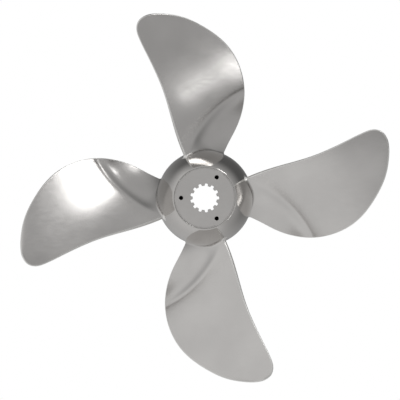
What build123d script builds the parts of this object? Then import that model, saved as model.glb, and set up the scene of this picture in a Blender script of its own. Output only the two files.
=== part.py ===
"""Four-blade stainless propeller for a small outboard, with a cushioned and splined drive hub.

Row frame, in millimetres: the shaft axis is Y, +Y points forward (the way the boat goes) and
+Z is up. The origin is the centre of the drive hub's flat aft face. Seen from aft, the
propeller turns clockwise to drive the boat forward, and blade 1 points up.
"""
import math
import os

from build123d import *

# Driving dimensions
OVERALL_DIAMETER = 298.0
BLADE_COUNT = 4
PITCH = 305.0                # advance of the helical blade face in one turn
RAKE = 18.0                  # degrees that the blades lean aft
HUB_DIAMETER = 75.0
HUB_LENGTH = 72.0
HUB_WALL = 4.5
MOUTH_RADIUS = 23.8          # opening in the hub's aft end, which the drive flange fills
LIP_RADIUS = 24.7            # where the flat aft lip turns into the shoulder
SHOULDER_DEPTH = 35.2        # axial length of the rounded aft shoulder
SPLINE_TEETH = 13            # 16/32 diametral pitch, as on 25 to 60 hp outboards
SPLINE_MINOR_RADIUS = 9.53
SPLINE_MAJOR_RADIUS = 11.4
SCREW_CIRCLE_DIAMETER = 37.0
SCREW_HOLE_RADIUS = 1.65     # tapping size for M4
SCREW_HOLE_DEPTH = 9.0

# Blade outline: share of the overall radius, then the angles from the blade's centre line to
# the leading and the trailing edge, in degrees
BLADE_STATIONS = [
    (0.20, 22.6, 27.0),
    (0.26, 23.3, 26.5),
    (0.32, 23.7, 25.6),
    (0.40, 24.5, 24.1),
    (0.50, 23.6, 22.4),
    (0.60, 20.7, 21.5),
    (0.70, 16.0, 21.6),
    (0.80, 9.4, 22.1),
    (0.90, -0.6, 22.5),
    (0.95, -6.5, 22.1),
    (0.985, -12.5, 20.6),
]
TIP_ANGLE = 17.3

# Blade section
TRAILING_ROOT_ANGLE = 26.4   # the trailing edge's angle where it meets the hub
TRAILING_ROOT_Y = 18.0       # and its place along the shaft
EDGE_THICKNESS = 1.8
ROOT_THICKNESS = 9.0
TIP_THICKNESS = 2.6
SECTION_HALF_WIDTH = 25.2    # degrees either side of the fullest line over which it thins out
ROOT_FLARE = 2.2             # extra half thickness at the foot, for the blend into the hub
ROOT_FLARE_REACH = 4.0

# The pressed fold that stiffens each blade: from the foot's trailing corner to the leading edge
FOLD_START = (-11.9, 40.8)   # x and z on blade 1
FOLD_END = (24.1, 81.3)
FOLD_BOW = 4.3               # how far the fold's line bows towards the tip
FOLD_HEIGHT = 4.0
FOLD_OUTER_WIDTH = 3.2       # it rises quickly on the tip's side and eases off on the foot's
FOLD_INNER_WIDTH = 4.5
FOLD_SETTLE = 26.0

# Drive hub and cushion
FLANGE_RADIUS = 23.75
FLANGE_THICKNESS = 6.0
GROOVE_RADIUS = 22.9         # inner side of the three shallow grooves around the flange's rim
GROOVE_DEPTH = 1.3
GROOVE_HALF_ANGLE = 51.0
DOG_COUNT = 3
DOG_START_Y = 2.6            # the dogs sit behind the barrel's aft lip
DOG_OUTER_RADIUS = 25.2
DOG_HALF_ANGLE = 8.0         # degrees
STOP_ANGLE = 2.0             # wind-up of the cushion before the dogs meet their pockets
POCKET_START_Y = 2.3
POCKET_END_Y = 9.0
POCKET_OUTER_RADIUS = 25.4
SLEEVE_RADIUS = 14.0
SLEEVE_END_Y = 63.0
PILOT_RADIUS = 12.0
PILOT_LENGTH = 10.0
BUSH_START_Y = 14.0
BUSH_END_Y = 58.0
BUSH_OUTER_RADIUS = 21.4
BUSH_CAN_RADIUS = 23.0
INNER_HUB_RADIUS = 26.5
INNER_HUB_START_Y = 12.0
INNER_HUB_END_Y = 63.0
WEB_THICKNESS = 5.0
SKIRT_RADIUS = 34.5          # counterbore that slips over the gearcase boss
SKIRT_LENGTH = 8.0
RUNNING_GAP = 0.05

RADIUS = OVERALL_DIAMETER / 2
HUB_RADIUS = HUB_DIAMETER / 2
DRILL_POINT_ANGLE = 118.0
AFT = Vector(0, -1, 0)
FORWARD = Vector(0, 1, 0)


def closed_face(lines):
    """Flat face bounded by lines that follow one another."""
    return make_face(Curve() + lines)


def turned(points):
    """Solid of revolution about the shaft axis from (radius, y) corner points."""
    profile = make_face(Polyline(*[(r, y, 0) for r, y in points], close=True))
    return revolve(profile, Axis.Y, 360)


def tube(inner, outer, start, end):
    """Plain ring between two radii and two places along the shaft."""
    return turned([(inner, start), (outer, start), (outer, end), (inner, end)])


def shoulder_radius():
    """Radius of the aft shoulder's arc, which is tangent to the hub's cylinder."""
    width = HUB_RADIUS - LIP_RADIUS
    return (width**2 + SHOULDER_DEPTH**2) / (2 * width)


def shoulder_y(radius, inset=0.0):
    """Place along the shaft of the shoulder's surface at a radius, or of one inset from it."""
    arc = shoulder_radius()
    centre = HUB_RADIUS - arc
    return SHOULDER_DEPTH - math.sqrt((arc - inset) ** 2 - (radius - centre) ** 2)


def hub_envelope():
    """The hub's outer shape as one filled solid, aft shoulder and forward chamfer included."""
    arc = shoulder_radius()
    centre = HUB_RADIUS - arc
    lip_turn = math.acos((LIP_RADIUS - centre) / arc)
    middle = (centre + arc * math.cos(lip_turn / 2), SHOULDER_DEPTH - arc * math.sin(lip_turn / 2))
    chamfer = 1.2
    outline = [
        Line((0, 0), (LIP_RADIUS, 0)),
        ThreePointArc((LIP_RADIUS, 0), middle, (HUB_RADIUS, SHOULDER_DEPTH)),
        Polyline(
            (HUB_RADIUS, SHOULDER_DEPTH),
            (HUB_RADIUS, HUB_LENGTH - chamfer),
            (HUB_RADIUS - chamfer, HUB_LENGTH),
            (0, HUB_LENGTH),
            (0, 0),
        ),
    ]
    return revolve(closed_face(outline), Axis.Y, 360)


def hub_cavity():
    """The hollow of the barrel: mouth, inner shoulder, long bore and forward skirt."""
    arc = shoulder_radius() - HUB_WALL
    centre = HUB_RADIUS - shoulder_radius()
    bore = HUB_RADIUS - HUB_WALL
    mouth_y = shoulder_y(MOUTH_RADIUS, HUB_WALL)
    turn = math.acos((MOUTH_RADIUS - centre) / arc)
    middle = (centre + arc * math.cos(turn / 2), SHOULDER_DEPTH - arc * math.sin(turn / 2))
    outline = [
        Polyline((0, -1), (MOUTH_RADIUS, -1), (MOUTH_RADIUS, mouth_y)),
        ThreePointArc((MOUTH_RADIUS, mouth_y), middle, (bore, SHOULDER_DEPTH)),
        Polyline(
            (bore, SHOULDER_DEPTH),
            (bore, HUB_LENGTH - SKIRT_LENGTH),
            (SKIRT_RADIUS, HUB_LENGTH - SKIRT_LENGTH),
            (SKIRT_RADIUS, HUB_LENGTH + 1),
            (0, HUB_LENGTH + 1),
            (0, -1),
        ),
    ]
    return revolve(closed_face(outline), Axis.Y, 360)


def sector(half_angle, inner, outer, start, end):
    """Ring segment centred on +X, between two places along the shaft."""
    a = math.radians(half_angle)
    inner_arc = ThreePointArc(
        (inner * math.cos(a), inner * math.sin(a)),
        (inner, 0),
        (inner * math.cos(a), -inner * math.sin(a)),
    )
    outer_arc = ThreePointArc(
        (outer * math.cos(a), -outer * math.sin(a)),
        (outer, 0),
        (outer * math.cos(a), outer * math.sin(a)),
    )
    sides = [Line(inner_arc @ 1, outer_arc @ 0), Line(outer_arc @ 1, inner_arc @ 0)]
    plane = Plane(origin=(0, start, 0), x_dir=(1, 0, 0), z_dir=(0, 1, 0))
    face = plane * closed_face([inner_arc, sides[0], outer_arc, sides[1]])
    return extrude(face, end - start)


def around(shape, count, start=0.0):
    """Copies of a shape evenly spaced about the shaft, the first turned by start degrees."""
    return [Rot(0, -(start + i * 360 / count), 0) * shape for i in range(count)]


def hub_barrel():
    """Outer shell of the hub, with pockets in its mouth for the drive dogs."""
    swing = DOG_HALF_ANGLE + STOP_ANGLE + 0.3
    pocket = sector(swing, MOUTH_RADIUS - 2, POCKET_OUTER_RADIUS, POCKET_START_Y, POCKET_END_Y)
    body = hub_envelope() - hub_cavity()
    for one in around(pocket, DOG_COUNT, 60):
        body -= one
    return body


def spline_profile():
    """Section of the bore: flat-bottomed grooves with sloping flanks, between round lands."""
    pitch = 2 * math.pi / SPLINE_TEETH
    wide, narrow = 0.30 * pitch, 0.16 * pitch
    points = []
    for i in range(SPLINE_TEETH):
        middle = -math.pi / 2 + i * pitch
        for angle, radius in (
            (-wide, SPLINE_MINOR_RADIUS),
            (-narrow, SPLINE_MAJOR_RADIUS),
            (narrow, SPLINE_MAJOR_RADIUS),
            (wide, SPLINE_MINOR_RADIUS),
        ):
            points.append((radius * math.cos(middle + angle), radius * math.sin(middle + angle)))
    plane = Plane(origin=(0, -1, 0), x_dir=(0, 0, -1), z_dir=(0, 1, 0))
    return plane * make_face(Polyline(*points, close=True))


def tapped_hole():
    """Blind hole at tapping size on the screw circle, with a drill point, seen along +Y."""
    tip = SCREW_HOLE_RADIUS / math.tan(math.radians(DRILL_POINT_ANGLE / 2))
    hole = turned([
        (0, -1),
        (SCREW_HOLE_RADIUS, -1),
        (SCREW_HOLE_RADIUS, SCREW_HOLE_DEPTH),
        (0, SCREW_HOLE_DEPTH + tip),
    ])
    return Pos(SCREW_CIRCLE_DIAMETER / 2, 0, 0) * hole


def drive_hub():
    """Splined sleeve with its aft flange, dogs and tapped holes, in one piece."""
    flange = tube(0, FLANGE_RADIUS, 0, FLANGE_THICKNESS)
    dog = sector(
        DOG_HALF_ANGLE, FLANGE_RADIUS - 1, DOG_OUTER_RADIUS, DOG_START_Y, FLANGE_THICKNESS
    )
    boss_radius = SCREW_CIRCLE_DIAMETER / 2 + SCREW_HOLE_RADIUS + 1.6
    body = flange + tube(0, boss_radius, 0, BUSH_START_Y - 0.5)
    for one in around(dog, DOG_COUNT, 60):
        body += one
    groove = sector(GROOVE_HALF_ANGLE, GROOVE_RADIUS, FLANGE_RADIUS + 1, -1, GROOVE_DEPTH)
    for one in around(groove, DOG_COUNT):
        body -= one
    body += tube(0, SLEEVE_RADIUS, 0, SLEEVE_END_Y)
    body -= extrude(spline_profile(), SLEEVE_END_Y + 2)
    body -= tube(0, PILOT_RADIUS, SLEEVE_END_Y - PILOT_LENGTH, SLEEVE_END_Y + 1)
    for one in around(tapped_hole(), DOG_COUNT, 60):
        body -= one
    return body


def flange_seal():
    """Rubber ring that closes the gap behind the flange."""
    inner = SCREW_CIRCLE_DIAMETER / 2 + SCREW_HOLE_RADIUS + 1.65
    return tube(inner, MOUTH_RADIUS - 0.15, FLANGE_THICKNESS + 0.35, INNER_HUB_START_Y - 0.3)


def inner_hub():
    """Tube that holds the cushion, with three webs out to the barrel's bore."""
    bore = HUB_RADIUS - HUB_WALL
    groove_y = BUSH_END_Y + 0.3
    body = tube(BUSH_CAN_RADIUS, INNER_HUB_RADIUS, INNER_HUB_START_Y, INNER_HUB_END_Y)
    web_length = INNER_HUB_END_Y - SHOULDER_DEPTH
    web = Pos((INNER_HUB_RADIUS + bore) / 2, SHOULDER_DEPTH + web_length / 2, 0) * Box(
        bore - INNER_HUB_RADIUS + 2, web_length, WEB_THICKNESS
    )
    web &= tube(INNER_HUB_RADIUS - 0.8, bore, SHOULDER_DEPTH, INNER_HUB_END_Y)
    for one in around(web, DOG_COUNT, 60):
        body += one
    return body - tube(BUSH_CAN_RADIUS - 1, BUSH_CAN_RADIUS + 1.0, groove_y, groove_y + 1.7)


def bush_can():
    """Thin steel can bonded to the outside of the rubber."""
    return tube(BUSH_OUTER_RADIUS, BUSH_CAN_RADIUS, BUSH_START_Y, BUSH_END_Y)


def cushion_bush():
    """Rubber between the can and the sleeve, relieved at both ends."""
    inner, outer = SLEEVE_RADIUS + RUNNING_GAP, BUSH_OUTER_RADIUS
    middle, relief = (inner + outer) / 2, 3.0
    return turned([
        (inner, BUSH_START_Y + 0.5),
        (middle, BUSH_START_Y + 0.5 + relief),
        (outer, BUSH_START_Y + 0.5),
        (outer, BUSH_END_Y - 0.5),
        (middle, BUSH_END_Y - 0.5 - relief),
        (inner, BUSH_END_Y - 0.5),
    ])


def retaining_ring():
    """Internal circlip in the inner hub's groove, with a gap and two plier eyes."""
    start = BUSH_END_Y + 0.4
    eye_radius, eye_circle, eye_angle = 2.4, 20.4, 13.0
    ring = tube(20.6, BUSH_CAN_RADIUS + 0.9, start, start + 1.5)
    ring -= sector(8.0, 15, 27, start - 1, start + 3)
    for side in (-1, 1):
        place = Rot(0, side * eye_angle, 0) * Pos(eye_circle, 0, 0)
        ring += place * tube(0, eye_radius, start, start + 1.5)
        ring -= place * tube(0, 1.0, start - 1, start + 3)
    return Rot(0, 90, 0) * ring


def station_point(share, angle):
    """Point on blade 1's outline, with the angle positive towards the trailing edge."""
    a = math.radians(angle)
    return (-share * RADIUS * math.sin(a), 0, share * RADIUS * math.cos(a))


def blade_prism():
    """The blade's outline, swept along the shaft axis."""
    leading = [station_point(share, -le) for share, le, _ in BLADE_STATIONS]
    trailing = [station_point(share, te) for share, _, te in reversed(BLADE_STATIONS)]
    curve = Spline(*leading, station_point(1.0, TIP_ANGLE), *trailing)
    face = closed_face([curve, Line(curve @ 1, curve @ 0)])
    return extrude(face, 90, dir=AFT) + extrude(face, 120, dir=FORWARD)


def fold_offset(x, z):
    """How far the fold carries the blade forward at a point of blade 1."""
    (x0, z0), (x1, z1) = FOLD_START, FOLD_END
    length = math.hypot(x1 - x0, z1 - z0)
    ux, uz = (x1 - x0) / length, (z1 - z0) / length
    along = ((x - x0) * ux + (z - z0) * uz) / length
    across = (x - x0) * uz - (z - z0) * ux + FOLD_BOW * 4 * along * (1 - along)
    width = FOLD_OUTER_WIDTH if across < 0 else FOLD_INNER_WIDTH
    rise = FOLD_OUTER_WIDTH + width * math.tanh(across / width)
    fade = math.exp(-((max(0.0, abs(along - 0.5) - 0.38) / 0.12) ** 2))
    settle = math.exp(-((max(0.0, across) / FOLD_SETTLE) ** 2))
    return FOLD_HEIGHT * rise / (FOLD_OUTER_WIDTH + FOLD_INNER_WIDTH) * fade * settle


def blade_mean_y(x, z):
    """Place along the shaft of the blade's middle surface: helix, rake and fold."""
    radius = math.hypot(x, z)
    angle = math.degrees(math.atan2(-x, z))
    helix = PITCH * (TRAILING_ROOT_ANGLE - angle) / 360
    lean = math.tan(math.radians(RAKE)) * (radius - HUB_RADIUS)
    return TRAILING_ROOT_Y + helix - lean + fold_offset(x, z)


def blade_half_thickness(x, z):
    """Half of the blade's thickness, measured along the shaft axis."""
    radius = math.hypot(x, z)
    angle = math.degrees(math.atan2(-x, z))
    share = radius / RADIUS
    half_width = SECTION_HALF_WIDTH * (1 - 0.55 * share**3)
    crown = math.exp(-1.6 * ((angle - TIP_ANGLE * share**5) / half_width) ** 2)
    fullest = ROOT_THICKNESS + (TIP_THICKNESS - ROOT_THICKNESS) * share
    flare = ROOT_FLARE * math.exp(-max(0.0, radius - HUB_RADIUS) / ROOT_FLARE_REACH)
    thickness = EDGE_THICKNESS + (fullest - EDGE_THICKNESS) * crown
    helix_slope = PITCH / (2 * math.pi * max(radius, HUB_RADIUS))
    return (thickness / 2 + flare) * math.hypot(1, helix_slope)


def blade_side(side):
    """One face of the blade over a rectangle that covers its outline."""
    columns, rows = 46, 44
    x_low, x_high, z_low, z_high = -82.0, 54.0, 24.0, 152.0
    grid = []
    for i in range(columns):
        x = x_low + (x_high - x_low) * i / (columns - 1)
        line = []
        for j in range(rows):
            z = z_low + (z_high - z_low) * j / (rows - 1)
            y = blade_mean_y(x, z) + side * blade_half_thickness(x, z)
            line.append(Vector(x, y, z))
        grid.append(line)
    return Face.make_surface_from_array_of_points(grid, tol=0.05, min_deg=3, max_deg=3)


def blade():
    """Blade 1: the outline between its aft and forward faces, seated on the hub."""
    body = blade_prism() & extrude(blade_side(-1), 60, dir=FORWARD)
    body -= extrude(blade_side(1), 120, dir=FORWARD)
    return body - hub_envelope()


def main():
    os.makedirs("parts", exist_ok=True)
    pieces = {
        "hub_barrel": hub_barrel(),
        "drive_hub": drive_hub(),
        "flange_seal": flange_seal(),
        "inner_hub": inner_hub(),
        "bush_can": bush_can(),
        "cushion_bush": cushion_bush(),
        "retaining_ring": retaining_ring(),
    }
    first_blade = blade()
    for i in range(BLADE_COUNT):
        pieces[f"blade_{i + 1}"] = Rot(0, i * 360 / BLADE_COUNT, 0) * first_blade
    for name, shape in pieces.items():
        export_step(shape, f"parts/{name}.step")


main()
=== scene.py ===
"""Four-blade stainless boat propeller on a cushioned, splined drive hub, in a plain light studio."""
import math

import bpy
import numpy as np
from mathutils import Matrix, Vector


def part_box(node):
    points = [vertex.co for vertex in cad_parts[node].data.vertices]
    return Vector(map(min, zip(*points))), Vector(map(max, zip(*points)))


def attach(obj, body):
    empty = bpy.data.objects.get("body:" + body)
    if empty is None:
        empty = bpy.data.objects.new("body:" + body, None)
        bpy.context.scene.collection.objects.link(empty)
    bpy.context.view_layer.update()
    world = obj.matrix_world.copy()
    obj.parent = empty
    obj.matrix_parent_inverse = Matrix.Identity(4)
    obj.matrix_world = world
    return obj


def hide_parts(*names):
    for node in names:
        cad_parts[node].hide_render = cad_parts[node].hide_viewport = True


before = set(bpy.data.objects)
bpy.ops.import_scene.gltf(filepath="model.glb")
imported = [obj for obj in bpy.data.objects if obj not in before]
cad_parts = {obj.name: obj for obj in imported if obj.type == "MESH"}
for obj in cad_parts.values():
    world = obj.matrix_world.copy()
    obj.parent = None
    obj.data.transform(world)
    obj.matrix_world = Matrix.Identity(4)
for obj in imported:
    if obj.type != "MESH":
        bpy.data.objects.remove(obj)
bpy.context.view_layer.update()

MM = 0.001

# Sizes in millimetres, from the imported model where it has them
TIP_RADIUS = 149.0
HUB_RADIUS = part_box("hub_barrel")[1].x / MM
HUB_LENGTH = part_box("hub_barrel")[1].y / MM
SLEEVE_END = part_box("drive_hub")[1].y / MM
HUB_WALL = 4.5
SKIRT_RADIUS = 34.5
SKIRT_LENGTH = 8.0
MOUTH_END = 6.2
POCKET_START = 2.3
POCKET_END = 9.0
POCKET_RADIUS = 25.4
POCKET_HALF_ANGLE = 10.3
DOG_HALF_ANGLE = 8.0
DOG_HEIGHT = 1.45
BRIDGE_HALF_ANGLE = 9.0
SPLINE_TEETH = 13
SPLINE_MINOR_RADIUS = 9.53
SPLINE_MAJOR_RADIUS = 11.4
BOSS_RADIUS = 21.7
SLEEVE_RADIUS = 13.95
PILOT_RADIUS = 12.0
SHOULDER_DEPTH = 35.2
LIP_RADIUS = 24.7
MOUTH_RADIUS = 23.8
FLANGE_RADIUS = 23.75
GROOVE_RADIUS = 22.9
GROOVE_DEPTH = 1.3
DOG_START = 2.6
FLANGE_THICKNESS = 6.0
BOSS_END = 13.5
PILOT_LENGTH = 10.0
SCREW_RADIUS = 1.65
SCREW_CIRCLE_RADIUS = 18.5
SHOULDER_ARC = ((HUB_RADIUS - LIP_RADIUS) ** 2 + SHOULDER_DEPTH**2) / (2 * (HUB_RADIUS - LIP_RADIUS))

# Share of the tip radius, then the angles to the leading and the trailing edge
BLADE_STATIONS = [
    (0.20, 22.6, 27.0),
    (0.26, 23.3, 26.5),
    (0.32, 23.7, 25.6),
    (0.40, 24.5, 24.1),
    (0.50, 23.6, 22.4),
    (0.60, 20.7, 21.5),
    (0.70, 16.0, 21.6),
    (0.80, 9.4, 22.1),
    (0.90, -0.6, 22.5),
    (0.95, -6.5, 22.1),
    (0.985, -12.5, 20.6),
]
TIP_ANGLE = 17.3
PITCH = 305.0
RAKE = 18.0
TRAILING_ROOT_ANGLE = 26.4
TRAILING_ROOT_Y = 18.0
ROOT_EDGE = 2.5
TIP_EDGE = 1.3
EDGE_ROUND = 0.45
ROOT_THICKNESS = 7.5
TIP_THICKNESS = 2.6
FILLET = 2.2
FOOT_RADIUS = 31.0
BLEND_RADIUS = 43.0
FOOT_DEPTH = 2.4
# The pressed fold: its line across blade 1, its height, and how quickly it rises and settles
FOLD_START = (-11.9, 40.8)
FOLD_END = (24.1, 81.3)
FOLD_BOW = 4.3
FOLD_HEIGHT = 4.0
FOLD_OUTER_WIDTH = 1.1
FOLD_INNER_WIDTH = 4.5
FOLD_SETTLE = 60.0


def natural_spline(points, samples):
    """Smooth curve through the points, as a (samples, 2) array."""
    p = np.array(points, float)
    t = np.concatenate([[0], np.cumsum(np.hypot(*np.diff(p, axis=0).T))])
    h = np.diff(t)
    n = len(p)
    a = np.eye(n)
    b = np.zeros((n, 2))
    for i in range(1, n - 1):
        a[i, i - 1:i + 2] = h[i - 1], 2 * (h[i - 1] + h[i]), h[i]
        b[i] = 6 * ((p[i + 1] - p[i]) / h[i] - (p[i] - p[i - 1]) / h[i - 1])
    m = np.linalg.solve(a, b)
    u = np.linspace(0, t[-1], samples)
    k = np.clip(np.searchsorted(t, u, side="right") - 1, 0, n - 2)
    hk, d1, d0 = h[k][:, None], (u - t[k])[:, None], (t[k + 1] - u)[:, None]
    curve = m[k] * d0**3 / (6 * hk) + m[k + 1] * d1**3 / (6 * hk)
    curve += (p[k] / hk - m[k] * hk / 6) * d0 + (p[k + 1] / hk - m[k + 1] * hk / 6) * d1
    return curve


def blade_outline():
    """Radius and the leading and trailing angles along the blade, finely sampled."""
    def place(share, angle):
        a = math.radians(angle)
        return (-share * TIP_RADIUS * math.sin(a), share * TIP_RADIUS * math.cos(a))

    leading = [place(s, -le) for s, le, _ in BLADE_STATIONS]
    trailing = [place(s, te) for s, _, te in reversed(BLADE_STATIONS)]
    curve = natural_spline(leading + [place(1.0, TIP_ANGLE)] + trailing, 6001)
    radius = np.hypot(curve[:, 0], curve[:, 1])
    angle = np.degrees(np.arctan2(-curve[:, 0], curve[:, 1]))
    top = int(np.argmax(radius))
    return (radius[:top + 1], angle[:top + 1]), (radius[top:][::-1], angle[top:][::-1]), radius[top]


def fold_offset(x, z):
    """How far the pressed fold carries the blade forward."""
    (x0, z0), (x1, z1) = FOLD_START, FOLD_END
    length = math.hypot(x1 - x0, z1 - z0)
    ux, uz = (x1 - x0) / length, (z1 - z0) / length
    along = ((x - x0) * ux + (z - z0) * uz) / length
    across = (x - x0) * uz - (z - z0) * ux + FOLD_BOW * 4 * along * (1 - along)
    width = np.where(across < 0, FOLD_OUTER_WIDTH, FOLD_INNER_WIDTH)
    rise = (FOLD_OUTER_WIDTH + width * np.tanh(across / width)) / (FOLD_OUTER_WIDTH + FOLD_INNER_WIDTH)
    fade = np.exp(-((np.maximum(0, 0.18 - along) / 0.2) ** 2))
    fade *= np.exp(-((np.maximum(0, along - 0.75) / 0.45) ** 2))
    settle = np.exp(-((np.maximum(0, across) / FOLD_SETTLE) ** 2))
    return FOLD_HEIGHT * rise * fade * settle


def mean_y(x, z):
    """Place along the shaft of the blade's middle surface."""
    radius = np.hypot(x, z)
    angle = np.degrees(np.arctan2(-x, z))
    helix = PITCH * (TRAILING_ROOT_ANGLE - angle) / 360
    return TRAILING_ROOT_Y + helix - math.tan(math.radians(RAKE)) * (radius - HUB_RADIUS) + fold_offset(x, z)


def hub_distance(radius, y):
    """Distance outside the hub's surface."""
    centre = HUB_RADIUS - SHOULDER_ARC
    shoulder = np.hypot(radius - centre, np.maximum(0, SHOULDER_DEPTH - y)) - SHOULDER_ARC
    return np.where(y < SHOULDER_DEPTH, shoulder, radius - HUB_RADIUS)


def fillet_growth(distance, size):
    """Sideways growth of a quarter-round fillet at a distance from the surface it lands on."""
    d = np.clip(distance, 0, size)
    return size - np.sqrt(np.maximum(0, size**2 - (size - d) ** 2))


def hub_surface(y):
    """Radius of the hub's outside at a place along the shaft."""
    drop = np.clip(SHOULDER_DEPTH - y, 0, SHOULDER_DEPTH)
    return HUB_RADIUS - SHOULDER_ARC + np.sqrt(SHOULDER_ARC**2 - drop**2)


def section_limits(rows):
    """Leading and trailing angles of the blade's skin and its edge thickness at some radii."""
    (r_lead, a_lead), (r_trail, a_trail), _ = blade_outline()
    slope = PITCH / (2 * math.pi * rows)
    edge = ROOT_EDGE + (TIP_EDGE - ROOT_EDGE) * np.clip((rows - 38) / 85, 0, 1)
    lead = np.interp(rows, r_lead, a_lead)
    trail = np.interp(rows, r_trail, a_trail)
    chord = np.radians(trail - lead) * rows
    inset = np.minimum(edge / 2 * slope / np.hypot(1, slope), chord * 0.2)

    def growth(angle):
        x, z = -rows * np.sin(np.radians(angle)), rows * np.cos(np.radians(angle))
        return fillet_growth(hub_distance(rows, mean_y(x, z)), FILLET) / np.hypot(1, slope)

    lead = lead + np.degrees((inset - growth(lead)) / rows)
    trail = trail - np.degrees((inset - growth(trail)) / rows)
    return lead, trail, edge


def blade_shell():
    """Vertices, faces and an edge band of blade 1 for scuffing and a painted highlight: one closed skin with
    round edges and a fillet.
    """
    r_top = blade_outline()[2]
    foot = np.linspace(FOOT_RADIUS, BLEND_RADIUS, 49)
    u = np.linspace(0, 1, 131)[1:]
    rows = np.concatenate([foot, r_top - (r_top - BLEND_RADIUS) * (1 - u) ** 2.0])
    rows[-1] = r_top - 1e-4
    rows = rows[:, None]
    lead, trail, edge = section_limits(rows)
    chord = np.radians(trail - lead) * rows

    near = np.array([0, 0.02, 0.07, 0.15, 0.26, 0.38, 0.5, 1.0, 2.0, 3.8])
    scale = np.minimum(1, chord / 16)
    low = near[None, :] * scale / chord
    middle = np.linspace(0, 1, 62)[None, 1:-1]
    span_low = low[:, -1:]
    body = span_low + (1 - 2 * span_low) * middle
    t = np.concatenate([low, body, 1 - low[:, ::-1]], axis=1)

    # The foot's rows follow the hub, so that the skin ends inside the barrel's wall
    root = np.full((1, 1), HUB_RADIUS - 1.0)
    root_lead, root_trail, _ = section_limits(root)
    root_angle = np.radians(root_lead + (root_trail - root_lead) * t[:1])
    root_y = mean_y(-root * np.sin(root_angle), root * np.cos(root_angle))
    start = hub_surface(root_y) - FOOT_DEPTH
    into = (BLEND_RADIUS - rows) / (BLEND_RADIUS - FOOT_RADIUS)
    rows = np.where(rows < BLEND_RADIUS, BLEND_RADIUS - (BLEND_RADIUS - start) * into, rows)
    lead, trail, edge = section_limits(rows)
    angle = lead + (trail - lead) * t
    x = -rows * np.sin(np.radians(angle))
    z = rows * np.cos(np.radians(angle))
    y = mean_y(x, z)

    # True distance to the free edge, for the rounding
    step = 0.05
    gx = (mean_y(x + step, z) - mean_y(x - step, z)) / (2 * step)
    gz = (mean_y(x, z + step) - mean_y(x, z - step)) / (2 * step)
    length = np.sqrt(1 + gx**2 + gz**2)
    points = np.stack([x, y, z], -1)
    rim = np.concatenate([points[:, 0], points[::-1, -1]])
    seg_a, seg_b = rim[:-1], rim[1:]
    ab = seg_b - seg_a
    ab2 = np.maximum((ab**2).sum(-1), 1e-12)
    flat = points.reshape(-1, 3)
    best = np.full(len(flat), 1e9)
    for i in range(len(seg_a)):
        w = np.clip(((flat - seg_a[i]) @ ab[i]) / ab2[i], 0, 1)
        q = flat - seg_a[i] - w[:, None] * ab[i]
        best = np.minimum(best, (q**2).sum(-1))
    distance = np.sqrt(best).reshape(x.shape)

    share = rows / TIP_RADIUS
    crown = np.clip(4 * t * (1 - t), 0, 1)
    fullest = np.maximum(ROOT_THICKNESS + (TIP_THICKNESS - ROOT_THICKNESS) * share, edge)
    thickness = edge + (fullest - edge) * crown
    inside = np.clip(distance / EDGE_ROUND, 0, 1)
    rounding = np.sqrt(1 - (1 - inside) ** 2)
    flare = fillet_growth(hub_distance(rows, y), FILLET)
    half = (thickness / 2 + flare) * rounding

    normal = np.stack([-gx, np.ones_like(gx), -gz], -1) / length[..., None]
    aft = points - half[..., None] * normal
    forward = points + half[..., None] * normal
    n, m = x.shape
    verts = np.concatenate([aft.reshape(-1, 3), forward[:, 1:-1].reshape(-1, 3)])

    def back(i, j):
        return n * m + i * (m - 2) + (j - 1) if 0 < j < m - 1 else i * m + j

    faces = []
    for i in range(n - 1):
        for j in range(m - 1):
            faces.append((i * m + j, i * m + j + 1, (i + 1) * m + j + 1, (i + 1) * m + j))
            faces.append((back(i, j), back(i + 1, j), back(i + 1, j + 1), back(i, j + 1)))
    foot_loop = [back(0, j) for j in range(m)] + [j for j in range(m - 2, 0, -1)]
    tip_loop = [(n - 1) * m + j for j in range(m)] + [back(n - 1, j) for j in range(m - 2, 0, -1)]
    faces.append(tuple(foot_loop))
    faces.append(tuple(tip_loop))
    # Band along the free edges: the steel makes it rougher for scuffing and lightens its colour as a painted
    # edge highlight.
    wear_and_edge_highlight = np.exp(-((distance / 0.55) ** 2))
    wear_and_edge_highlight = np.concatenate([wear_and_edge_highlight.reshape(-1), wear_and_edge_highlight[:, 1:-1].reshape(-1)])
    return verts, faces, wear_and_edge_highlight


def make_object(name, verts, faces, sharp=None):
    """Mesh object from millimetre points, smooth shaded, with sharp edges above an angle."""
    mesh = bpy.data.meshes.new(name)
    mesh.from_pydata([tuple(v) for v in np.asarray(verts) * MM], [], faces)
    mesh.validate()
    mesh.polygons.foreach_set("use_smooth", [True] * len(mesh.polygons))
    if sharp:
        mesh.set_sharp_from_angle(angle=math.radians(sharp))
    mesh.update()
    piece = bpy.data.objects.new(name, mesh)
    bpy.context.scene.collection.objects.link(piece)
    return piece


def lathe(name, profile, columns, sharp=None, shift=None):
    """Closed ring swept about the shaft from (radius, y) points; shift may change a radius by angle."""
    angle = np.linspace(0, 2 * math.pi, columns, endpoint=False)
    p = np.array(profile, float)
    radius = np.repeat(p[:, 0][None, :], columns, axis=0)
    if shift is not None:
        radius = shift(radius, np.repeat(p[:, 1][None, :], columns, axis=0), angle[:, None])
    verts = np.stack([
        radius * np.cos(angle)[:, None],
        np.repeat(p[:, 1][None, :], columns, axis=0),
        radius * np.sin(angle)[:, None],
    ], -1).reshape(-1, 3)
    k = len(p)
    faces = []
    for i in range(columns):
        for j in range(k):
            a, b = i * k, ((i + 1) % columns) * k
            faces.append((a + j, a + (j + 1) % k, b + (j + 1) % k, b + j))
    return make_object(name, verts, faces, sharp)


def arc(centre, radius, start, end, count):
    """Points along an arc in the (radius, y) plane, angles in degrees."""
    return [
        (centre[0] + radius * math.cos(math.radians(a)), centre[1] + radius * math.sin(math.radians(a)))
        for a in np.linspace(start, end, count)
    ]


def line(a, b, count):
    """Points from a up to but not including b."""
    return [
        (a[0] + (b[0] - a[0]) * i / count, a[1] + (b[1] - a[1]) * i / count) for i in range(count)
    ]


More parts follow.
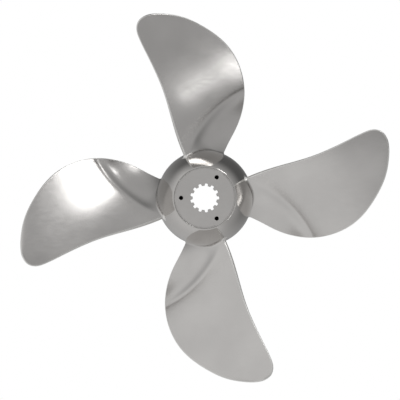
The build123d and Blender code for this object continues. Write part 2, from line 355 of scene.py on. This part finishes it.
def off_bridge(angle, half):
    """0 at the three bridges' centres, 1 away from them, with a short smooth step between."""
    turn = np.degrees(angle) % 120 - 60
    return np.clip((np.abs(turn) - half) / 1.2 + 0.5, 0, 1)


def barrel():
    """Barrel with a rounded aft shoulder, flat lip, dog pockets in its mouth, and a skirt."""
    centre = (HUB_RADIUS - SHOULDER_ARC, SHOULDER_DEPTH)
    lip_angle = -math.degrees(math.acos((LIP_RADIUS - centre[0]) / SHOULDER_ARC))
    inner_arc = SHOULDER_ARC - HUB_WALL
    bore = HUB_RADIUS - HUB_WALL
    wall_start = POCKET_START + 0.05
    skirt_start = HUB_LENGTH - SKIRT_LENGTH
    mouth_angle = -math.degrees(math.acos((MOUTH_RADIUS - centre[0]) / inner_arc))
    profile = []
    profile += line((MOUTH_RADIUS, MOUTH_END), (MOUTH_RADIUS, wall_start), 6)
    profile.append((MOUTH_RADIUS, wall_start))
    profile += line((MOUTH_RADIUS, POCKET_START), (MOUTH_RADIUS, 0.3), 4)
    profile += arc((MOUTH_RADIUS + 0.3, 0.3), 0.3, 180, 270, 5)
    profile += arc((LIP_RADIUS - 0.25, 0.25), 0.25, 270, 270 + 20, 3)
    profile += arc(centre, SHOULDER_ARC, lip_angle + 0.35, 0, 56)
    profile += line((HUB_RADIUS, SHOULDER_DEPTH + 0.6), (HUB_RADIUS, HUB_LENGTH - 1.2), 40)
    profile += arc((HUB_RADIUS - 1.0, HUB_LENGTH - 1.0), 1.0, 0, 90, 7)
    profile += arc((SKIRT_RADIUS + 0.5, HUB_LENGTH - 0.5), 0.5, 90, 180, 5)
    profile += line((SKIRT_RADIUS, HUB_LENGTH - 1.0), (SKIRT_RADIUS, skirt_start), 5)
    profile += line((SKIRT_RADIUS, skirt_start), (bore, skirt_start), 2)
    profile += line((bore, skirt_start - 0.05), (bore, SHOULDER_DEPTH), 16)
    profile += arc(centre, inner_arc, 0, mouth_angle, 24)[:-1]

    def shift(radius, y, angle):
        pocket = (y > POCKET_START + 0.02) & (y < POCKET_END) & (radius < POCKET_RADIUS + 0.6)
        outward = np.maximum(0, POCKET_RADIUS - radius) * (1 - off_bridge(angle, POCKET_HALF_ANGLE))
        return radius + np.where(pocket, outward, 0)

    return lathe("barrel", profile, 720, sharp=38, shift=shift)


def spline_bore(samples_per_tooth=28):
    """Closed contour of the 13-tooth internal spline, with a groove at +X."""
    points = []
    for i in range(SPLINE_TEETH * samples_per_tooth):
        turn = i / samples_per_tooth
        u = abs(turn - round(turn))
        w = min(1, max(0, (0.30 - u) / 0.13))
        rise = w * w * (3 - 2 * w)
        radius = SPLINE_MINOR_RADIUS + (SPLINE_MAJOR_RADIUS - SPLINE_MINOR_RADIUS) * rise
        a = turn * 2 * math.pi / SPLINE_TEETH
        points.append((radius * math.cos(a), radius * math.sin(a)))
    return points


def circle(radius, count=240, centre=(0, 0)):
    """Closed ring of points."""
    return [
        (
            centre[0] + radius * math.cos(2 * math.pi * i / count),
            centre[1] + radius * math.sin(2 * math.pi * i / count),
        )
        for i in range(count)
    ]


def bridged_ring(count=720):
    """Outline of the flange's aft face, out to full size only at its three bridges."""
    points = []
    for i in range(count):
        a = 2 * math.pi * i / count
        radius = FLANGE_RADIUS - (FLANGE_RADIUS - GROOVE_RADIUS) * float(off_bridge(a, BRIDGE_HALF_ANGLE))
        points.append((radius * math.cos(a), radius * math.sin(a)))
    return points


def dog_ring(count=720):
    """Outline of the flange with its three dogs."""
    points = []
    for i in range(count):
        a = 2 * math.pi * i / count
        out = 1 - float(off_bridge(a, DOG_HALF_ANGLE))
        radius = FLANGE_RADIUS + DOG_HEIGHT * out
        points.append((radius * math.cos(a), radius * math.sin(a)))
    return points


def plate(name, loops, start, end, edge):
    """Flat plate with holes between two places along the shaft, with rounded edges."""
    curve = bpy.data.curves.new(name, "CURVE")
    curve.dimensions = "2D"
    curve.fill_mode = "BOTH"
    for loop in loops:
        spline = curve.splines.new("POLY")
        spline.points.add(len(loop) - 1)
        for point, (x, z) in zip(spline.points, loop):
            point.co = (x * MM, z * MM, 0, 1)
        spline.use_cyclic_u = True
    curve.extrude = ((end - start) / 2 - edge) * MM
    curve.bevel_depth = edge * MM
    curve.bevel_resolution = 2
    curve.offset = -edge * MM
    holder = bpy.data.objects.new(name, curve)
    bpy.context.scene.collection.objects.link(holder)
    bpy.context.view_layer.update()
    mesh = bpy.data.meshes.new_from_object(holder.evaluated_get(bpy.context.evaluated_depsgraph_get()))
    bpy.data.objects.remove(holder)
    turn = Matrix(((1, 0, 0, 0), (0, 0, -1, (start + end) / 2 * MM), (0, 1, 0, 0), (0, 0, 0, 1)))
    mesh.transform(turn)
    mesh.polygons.foreach_set("use_smooth", [True] * len(mesh.polygons))
    mesh.set_sharp_from_angle(angle=math.radians(35))
    piece = bpy.data.objects.new(name, mesh)
    bpy.context.scene.collection.objects.link(piece)
    return piece


# Materials

def node(tree, kind, **values):
    """New shader node with its settings."""
    made = tree.nodes.new(kind)
    for key, value in values.items():
        setattr(made, key, value)
    return made


def color_out(mix):
    """Colour result of a mix node."""
    return next(s for s in mix.outputs if s.type == "RGBA")


def steel(name, color, roughness, grain, spread):
    """Polished stainless: fine grain, faint polishing marks, uneven sheen, and edges lighter in colour,
    partly scuffing and partly a painted highlight.
    """
    material = bpy.data.materials.new(name)
    material.use_nodes = True
    tree = material.node_tree
    shader = tree.nodes["Principled BSDF"]
    shader.inputs["Metallic"].default_value = 1.0
    shader.inputs["Specular IOR Level"].default_value = 0.5
    place = node(tree, "ShaderNodeTexCoord")

    def noise(scale, detail, stretch=(1, 1, 1)):
        mapping = node(tree, "ShaderNodeMapping")
        mapping.inputs["Scale"].default_value = stretch
        tree.links.new(place.outputs["Object"], mapping.inputs["Vector"])
        texture = node(tree, "ShaderNodeTexNoise")
        texture.inputs["Scale"].default_value = scale
        texture.inputs["Detail"].default_value = detail
        tree.links.new(mapping.outputs["Vector"], texture.inputs["Vector"])
        return texture.outputs["Fac"]

    def remap(value, low, high):
        ranged = node(tree, "ShaderNodeMapRange")
        ranged.inputs["From Min"].default_value = 0.3
        ranged.inputs["From Max"].default_value = 0.7
        ranged.inputs["To Min"].default_value = low
        ranged.inputs["To Max"].default_value = high
        tree.links.new(value, ranged.inputs["Value"])
        return ranged.outputs["Result"]

    cloud = noise(24.0, 3.0)
    fine = noise(900.0, 4.0)
    marks = noise(160.0, 5.0, (1.0, 0.25, 3.0))
    mix = node(tree, "ShaderNodeMath", operation="ADD")
    tree.links.new(remap(cloud, roughness - spread, roughness + spread), mix.inputs[0])
    tree.links.new(remap(marks, -0.02, 0.03), mix.inputs[1])
    # Edge band from the mesh: more roughness for scuffing, and a lighter colour that is a painted edge
    # highlight.
    edge_scuff_and_highlight = node(tree, "ShaderNodeAttribute", attribute_name="wear_and_edge_highlight")
    rubbed = node(tree, "ShaderNodeMath", operation="MULTIPLY_ADD")
    rubbed.inputs[1].default_value = 0.14
    tree.links.new(edge_scuff_and_highlight.outputs["Fac"], rubbed.inputs[0])
    tree.links.new(mix.outputs[0], rubbed.inputs[2])
    tree.links.new(rubbed.outputs[0], shader.inputs["Roughness"])

    tint = node(tree, "ShaderNodeMix", data_type="RGBA")
    tint.inputs["A"].default_value = (*[c * 0.93 for c in color], 1)
    tint.inputs["B"].default_value = (*[min(1, c * 1.05) for c in color], 1)
    tree.links.new(remap(cloud, 0.0, 1.0), tint.inputs["Factor"])
    # Lighten the colour towards near-white along the edges: a painted highlight on top of scuffing.
    edge_highlight_tint = node(tree, "ShaderNodeMix", data_type="RGBA")
    edge_highlight_tint.inputs["B"].default_value = (0.86, 0.85, 0.83, 1)
    tree.links.new(edge_scuff_and_highlight.outputs["Fac"], edge_highlight_tint.inputs["Factor"])
    tree.links.new(color_out(tint), edge_highlight_tint.inputs["A"])
    tree.links.new(color_out(edge_highlight_tint), shader.inputs["Base Color"])

    bump = node(tree, "ShaderNodeBump")
    bump.inputs["Strength"].default_value = grain
    bump.inputs["Distance"].default_value = 0.00002
    tree.links.new(fine, bump.inputs["Height"])
    tree.links.new(bump.outputs["Normal"], shader.inputs["Normal"])
    return material


def rubber(name):
    """Matt black rubber with a fine moulded grain."""
    material = bpy.data.materials.new(name)
    material.use_nodes = True
    tree = material.node_tree
    shader = tree.nodes["Principled BSDF"]
    shader.inputs["Base Color"].default_value = (0.02, 0.02, 0.021, 1)
    shader.inputs["Specular IOR Level"].default_value = 0.35
    texture = node(tree, "ShaderNodeTexNoise")
    texture.inputs["Scale"].default_value = 700.0
    place = node(tree, "ShaderNodeTexCoord")
    tree.links.new(place.outputs["Object"], texture.inputs["Vector"])
    ranged = node(tree, "ShaderNodeMapRange")
    ranged.inputs["To Min"].default_value = 0.55
    ranged.inputs["To Max"].default_value = 0.8
    tree.links.new(texture.outputs["Fac"], ranged.inputs["Value"])
    tree.links.new(ranged.outputs["Result"], shader.inputs["Roughness"])
    bump = node(tree, "ShaderNodeBump")
    bump.inputs["Strength"].default_value = 0.4
    bump.inputs["Distance"].default_value = 0.00005
    tree.links.new(texture.outputs["Fac"], bump.inputs["Height"])
    tree.links.new(bump.outputs["Normal"], shader.inputs["Normal"])
    return material


blade_steel = steel("blade_steel", (0.63, 0.615, 0.60), 0.20, 0.25, 0.025)
hub_steel = steel("hub_steel", (0.56, 0.545, 0.53), 0.10, 0.15, 0.015)
disc_steel = steel("disc_steel", (0.60, 0.585, 0.57), 0.30, 0.3, 0.03)
ring_steel = steel("ring_steel", (0.30, 0.29, 0.28), 0.35, 0.4, 0.05)
black_rubber = rubber("black_rubber")

# Pieces

verts, faces, wear_and_edge_highlight = blade_shell()
for i in range(4):
    turn = math.radians(90 * i)
    c, s = math.cos(turn), math.sin(turn)
    across = verts[:, 0] * c + verts[:, 2] * s
    up = verts[:, 2] * c - verts[:, 0] * s
    turned = np.stack([across, verts[:, 1], up], -1)
    blade = make_object(f"blade_skin_{i + 1}", turned, faces)
    blade.data.materials.append(blade_steel)
    # Edge band for the steel: scuffing plus a painted edge highlight.
    layer = blade.data.attributes.new("wear_and_edge_highlight", "FLOAT", "POINT")
    layer.data.foreach_set("value", wear_and_edge_highlight.astype(np.float32))
    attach(blade, "propeller")
    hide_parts(f"blade_{i + 1}")

shell = barrel()
shell.data.materials.append(hub_steel)
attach(shell, "propeller")
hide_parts("hub_barrel")

holes = []
for angle in (60, 180, 300):
    turn = math.radians(angle)
    centre = (SCREW_CIRCLE_RADIUS * math.cos(turn), SCREW_CIRCLE_RADIUS * math.sin(turn))
    holes.append(circle(SCREW_RADIUS, 40, centre))
inside = [spline_bore(), *holes]
pilot_start = SLEEVE_END - PILOT_LENGTH
face = plate("drive_face", [bridged_ring(), *inside], 0, GROOVE_DEPTH, 0.15)
rim = plate("drive_rim", [circle(FLANGE_RADIUS, 360), *inside], GROOVE_DEPTH, DOG_START, 0.05)
dogs = plate("drive_dogs", [dog_ring(), *inside], DOG_START, FLANGE_THICKNESS, 0.15)
boss = plate("drive_boss", [circle(BOSS_RADIUS), *inside], FLANGE_THICKNESS, BOSS_END, 0.1)
sleeve = plate("drive_sleeve", [circle(SLEEVE_RADIUS), spline_bore()], BOSS_END, pilot_start, 0.1)
pilot = plate("drive_pilot", [circle(SLEEVE_RADIUS), circle(PILOT_RADIUS)], pilot_start, SLEEVE_END, 0.3)
for piece in (face, rim, dogs, boss, sleeve, pilot):
    piece.data.materials.append(disc_steel)
    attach(piece, "drive")
    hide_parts("drive_hub")

for name, material in (
    ("inner_hub", hub_steel),
    ("bush_can", disc_steel),
    ("cushion_bush", black_rubber),
    ("flange_seal", black_rubber),
    ("retaining_ring", ring_steel),
):
    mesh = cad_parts[name].data
    mesh.materials.clear()
    mesh.materials.append(material)

# Studio

floor_mesh = bpy.data.meshes.new("floor")
half, drop = 0.75, -0.19
floor_mesh.from_pydata(
    [(-half, -half, drop), (half, -half, drop), (half, half, drop), (-half, half, drop)], [], [(0, 1, 2, 3)]
)
floor = bpy.data.objects.new("floor", floor_mesh)
bpy.context.scene.collection.objects.link(floor)
pale = bpy.data.materials.new("pale_floor")
pale.use_nodes = True
pale_shader = pale.node_tree.nodes["Principled BSDF"]
pale_shader.inputs["Base Color"].default_value = (0.92, 0.92, 0.92, 1)
pale_shader.inputs["Roughness"].default_value = 0.9
pale_shader.inputs["Emission Color"].default_value = (1, 1, 1, 1)
pale_shader.inputs["Emission Strength"].default_value = 0.35
floor_mesh.materials.append(pale)
floor.visible_glossy = False


def softbox(name, azimuth, tilt, distance, across, along, radiance):
    """Area light tilt degrees off the camera's side, turned by azimuth, its width following azimuth."""
    a, t = math.radians(azimuth), math.radians(tilt)
    out = Vector((math.sin(t) * math.cos(a), -math.cos(t), math.sin(t) * math.sin(a)))
    side = Vector((-math.sin(a), 0, math.cos(a)))
    lamp = bpy.data.lights.new(name, "AREA")
    lamp.shape = "RECTANGLE"
    lamp.size, lamp.size_y = across, along
    lamp.energy = radiance * math.pi * across * along
    holder = bpy.data.objects.new(name, lamp)
    turned = Matrix((side, out.cross(side), out)).transposed().to_4x4()
    holder.matrix_world = Matrix.Translation(out * distance) @ turned
    bpy.context.scene.collection.objects.link(holder)


softbox("key", 58, 67, 2.0, 0.56, 0.56, 5.0)
softbox("kick", 50, 90, 2.0, 0.24, 0.24, 3.0)
softbox("side_bright", -38, 59, 2.0, 0.30, 0.30, 3.2)
softbox("side_long", -22, 62, 2.0, 0.62, 0.22, 1.15)

world = bpy.data.worlds.new("studio")
bpy.context.scene.world = world
world.use_nodes = True
sky = world.node_tree
background = sky.nodes["Background"]
where = node(sky, "ShaderNodeTexCoord")


def lean(direction):
    """How far a ray's direction leans towards a fixed one."""
    dot = node(sky, "ShaderNodeVectorMath", operation="DOT_PRODUCT")
    sky.links.new(where.outputs["Generated"], dot.inputs[0])
    dot.inputs[1].default_value = direction
    return dot.outputs["Value"]


def ease(value, start, end, low, high):
    """Smooth step of a value between two levels."""
    step = node(sky, "ShaderNodeMapRange", interpolation_type="SMOOTHSTEP")
    for key, number in (("From Min", start), ("From Max", end), ("To Min", low), ("To Max", high)):
        step.inputs[key].default_value = number
    sky.links.new(value, step.inputs["Value"])
    return step.outputs["Result"]


def blend(amount, first, second):
    """Mix of two levels, each a socket or a number."""
    mix = node(sky, "ShaderNodeMix", data_type="FLOAT")
    sky.links.new(amount, mix.inputs["Factor"])
    for key, value in (("A", first), ("B", second)):
        if isinstance(value, float):
            mix.inputs[key].default_value = value
        else:
            sky.links.new(value, mix.inputs[key])
    return mix.outputs["Result"]


behind = ease(lean((-0.5, 0, -0.85)), -0.6, 0.9, 0.13, 0.62)
around = ease(lean((-0.85, 0, -0.5)), -0.3, 0.3, 0.47, 0.73)
facing = lean((0, -1, 0))
level = blend(ease(facing, -0.6, -0.12, 0.0, 1.0), behind, around)
inner = ease(lean((-0.7, 0, 0.7)), 0.2, 0.6, 0.42, 0.76)
level = blend(ease(facing, 0.56, 0.70, 0.0, 1.0), level, inner)
level = blend(ease(facing, 0.9, 0.99, 0.0, 1.0), level, 0.62)
ray = node(sky, "ShaderNodeLightPath")
paint = node(sky, "ShaderNodeMix", data_type="FLOAT")
sky.links.new(ray.outputs["Is Camera Ray"], paint.inputs["Factor"])
sky.links.new(level, paint.inputs["A"])
paint.inputs["B"].default_value = 1.0
sky.links.new(paint.outputs["Result"], background.inputs["Strength"])
background.inputs["Color"].default_value = (1, 1, 1, 1)

scene = bpy.context.scene
scene.view_settings.view_transform = "Standard"
scene.view_settings.look = "None"

camera_data = bpy.data.cameras.new("camera")
camera = bpy.data.objects.new("camera", camera_data)
scene.collection.objects.link(camera)
scene.camera = camera
VIEW_WIDTH = 0.3114
DISTANCE = 4.0
camera_data.sensor_width = 36.0
camera_data.lens = 36.0 * DISTANCE / VIEW_WIDTH
camera_data.clip_end = 50.0
camera.location = (-0.00374, -DISTANCE, -0.00163)
camera.rotation_euler = (math.pi / 2, 0, 0)

bpy.context.view_layer.update()
